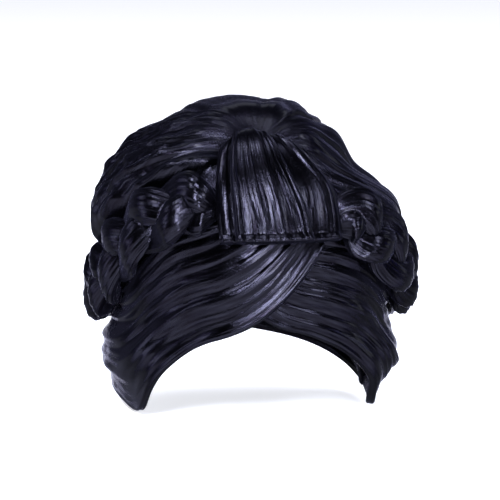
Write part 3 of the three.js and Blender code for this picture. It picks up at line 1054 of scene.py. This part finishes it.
OVER_FOLDS = ((0.1, 0.09, 1.6), (0.3, 0.12, 3), (0.5, 0.09, 2), (0.66, 0.08, 1.4))
UNDER_FOLDS = ((0.12, 0.1, 1.6), (0.38, 0.14, 3.2), (0.62, 0.09, 2), (0.78, 0.08, 1))
BACK_PANEL_EDGES = Table(
    "elevation left right inner",
    (0, 59, -14, 6, 3), (0.1, 55, -17.5, 9, 9.5), (0.25, 48, -21, 14, 13.4),
    (0.4, 41, -21.5, 19, 13.4), (0.55, 33, -21, 24.5, 13.4), (0.7, 26, -20, 25, 13.4),
    (0.9, 17, -18.5, 24, 13.6), (1, 15.2, -18.3, 23.8, 13),
)
FRONT_PANEL_EDGES = Table(
    "elevation left right inner",
    (0, 57.5, -13, -1, 7.5), (0.1, 54, -15.5, 0.5, 14.5), (0.25, 48, -16, 3.5, 17.4),
    (0.4, 41, -16, 6, 17.4), (0.55, 33, -15, 9, 17.4), (0.7, 26, -14, 11.5, 17.4),
    (0.9, 17, -13, 13, 17.6), (1, 15.2, -12.8, 13.2, 17),
)


@dataclass
class Softbox:
    """A square studio light that faces the wrap."""

    name: str
    azimuth: float
    elevation: float
    distance: float
    width: float
    height: float
    power: float
    colour: tuple[float, float, float] = (0.80, 0.84, 1.0)

    def build(self, target: Vector) -> None:
        """Puts the light at its azimuth, elevation and distance from the target, facing it.

        Args:
            target: the point that it faces.
        """
        data = bpy.data.lights.new(self.name, "AREA")
        data.shape = "RECTANGLE"
        data.size, data.size_y = self.width, self.height
        data.energy = self.power
        data.color = self.colour
        light = bpy.data.objects.new(self.name, data)
        place = target + Vector(FORM.direction(self.azimuth, self.elevation)) * self.distance
        turn = (target - place).to_track_quat("-Z", "Y").to_matrix().to_4x4()
        light.matrix_world = Matrix.Translation(place) @ turn
        bpy.context.scene.collection.objects.link(light)


@dataclass
class Studio:
    """A pale floor, soft light and the camera."""

    floor_height: float = -0.067
    floor_size: float = 40.0
    floor_glow: float = 0.55
    backdrop_light: float = 0.10
    light_target: tuple[float, float, float] = (0, 0, 0.035)
    camera_azimuth: float = -9.5
    camera_elevation: float = 8.0
    camera_distance: float = 9.0
    view_width: float = 0.333
    aim: tuple[float, float] = (1.95, 36.4)
    softboxes: tuple[Softbox, ...] = (
        Softbox("key_box", -22, 30, 1.5, 0.26, 0.46, 70),
        Softbox("front_box", 4, 7, 1.9, 0.20, 0.50, 66),
        Softbox("top_box", -10, 78, 1.4, 0.60, 0.40, 14),
        Softbox("crown_box", -72, 56, 1.4, 0.22, 0.35, 24),
        Softbox("side_front_box", 52, 30, 1.6, 0.20, 0.45, 20),
        Softbox("left_box", -100, 14, 1.5, 0.30, 0.90, 13),
        Softbox("right_box", 96, 18, 1.5, 0.30, 0.90, 13),
        Softbox("back_box", 178, 40, 1.8, 0.80, 0.60, 12),
    )

    def floor(self) -> None:
        """Lays a square floor of matt pale board, with the faintest cloud in its colour."""
        half = self.floor_size / 2
        plan = ((-half, -half), (half, -half), (half, half), (-half, half))
        corners = [(x, y, self.floor_height) for x, y in plan]
        mesh = bpy.data.meshes.new("floor")
        mesh.from_pydata(corners, [], [(0, 1, 2, 3)])
        material = bpy.data.materials.new("pale_board")
        material.use_nodes = True
        tree = material.node_tree
        shader = tree.nodes["Principled BSDF"]
        shader.inputs["Roughness"].default_value = 0.9
        shader.inputs["Specular IOR Level"].default_value = 0.1
        shader.inputs["Emission Color"].default_value = (1.0, 1.0, 1.0, 1.0)
        shader.inputs["Emission Strength"].default_value = self.floor_glow
        place = tree.nodes.new("ShaderNodeTexCoord")
        cloud = Finish.noise(tree, place.outputs["Object"], 1.5, 2.0)
        low, high = (0.3, (0.86, 0.86, 0.87)), (0.7, (0.89, 0.89, 0.89))
        Finish.ramp(tree, cloud, low, high, shader.inputs["Base Color"])
        mesh.materials.append(material)
        floor = bpy.data.objects.new("floor", mesh)
        bpy.context.scene.collection.objects.link(floor)

    def world(self) -> None:
        """Sets a white backdrop that lights the wrap only gently, so that its black stays deep."""
        world = bpy.data.worlds.new("studio")
        bpy.context.scene.world = world
        world.use_nodes = True
        tree = world.node_tree
        sky = tree.nodes["Background"]
        sky.inputs["Color"].default_value = (0.97, 0.98, 1.0, 1.0)
        seen = tree.nodes.new("ShaderNodeLightPath")
        strength = Finish.span(tree, seen.outputs["Is Camera Ray"], (0.0, 1.0), (self.backdrop_light, 1.0))
        tree.links.new(strength, sky.inputs["Strength"])

    def camera(self) -> None:
        """Aims a long lens at the wrap, so wide that view_width fills the frame at the origin."""
        right = Vector(FORM.direction(self.camera_azimuth + 90, 0))
        back = Vector(FORM.direction(self.camera_azimuth, self.camera_elevation))
        up = back.cross(right)
        target = (right * self.aim[0] + up * self.aim[1]) * MM
        data = bpy.data.cameras.new("camera")
        data.sensor_width = 36.0
        data.lens = data.sensor_width * self.camera_distance / self.view_width
        data.clip_end = 100.0
        camera = bpy.data.objects.new("camera", data)
        turn = Matrix((right, up, back)).transposed().to_4x4()
        camera.matrix_world = Matrix.Translation(target + back * self.camera_distance) @ turn
        bpy.context.scene.collection.objects.link(camera)
        bpy.context.scene.camera = camera

    def build(self) -> None:
        """Builds the floor, the backdrop, the lights and the camera."""
        self.floor()
        self.world()
        for box in self.softboxes:
            box.build(Vector(self.light_target))
        self.camera()
        bpy.context.scene.view_settings.view_transform = "Standard"


@dataclass
class Headwrap:
    """The whole wrap: its crown, its two bands, its braid and its tab."""

    slot: str = "coated_cloth"

    def parts(self) -> list[Crown | Band | Braid | TabPanel]:
        """The sub-assemblies in the order in which they are laid on."""
        return [
            Crown(),
            Band("band_under", "under_wrap", UNDER_EDGES, UNDER_FOLDS, no_lift, (0.09, 0.30), 71),
            Band("band_over", "over_wrap", OVER_EDGES, OVER_FOLDS, crossing_lift, (0.09, 0.32), 61),
            Braid(),
            TabPanel("tab_back", "tab_back_panel", BACK_PANEL_EDGES, (0.08, 0.09), 81),
            TabPanel("tab_front", "tab_front_panel", FRONT_PANEL_EDGES, (0.05, 0.09), 91, side_roll=2.2),
        ]

    def build(self) -> None:
        """Builds each sub-assembly, fixes its pieces to the frame and reports them."""
        for part in self.parts():
            for piece in part.build():
                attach(piece, "root")
                LOG.info("%s: %d faces", piece.name, len(piece.data.polygons))


def main() -> None:
    """Builds the wrap and the studio."""
    logging.basicConfig(level=logging.INFO, format="%(name)s: %(message)s")
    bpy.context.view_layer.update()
    Headwrap().build()
    Studio().build()


if __name__ == "__main__":
    main()
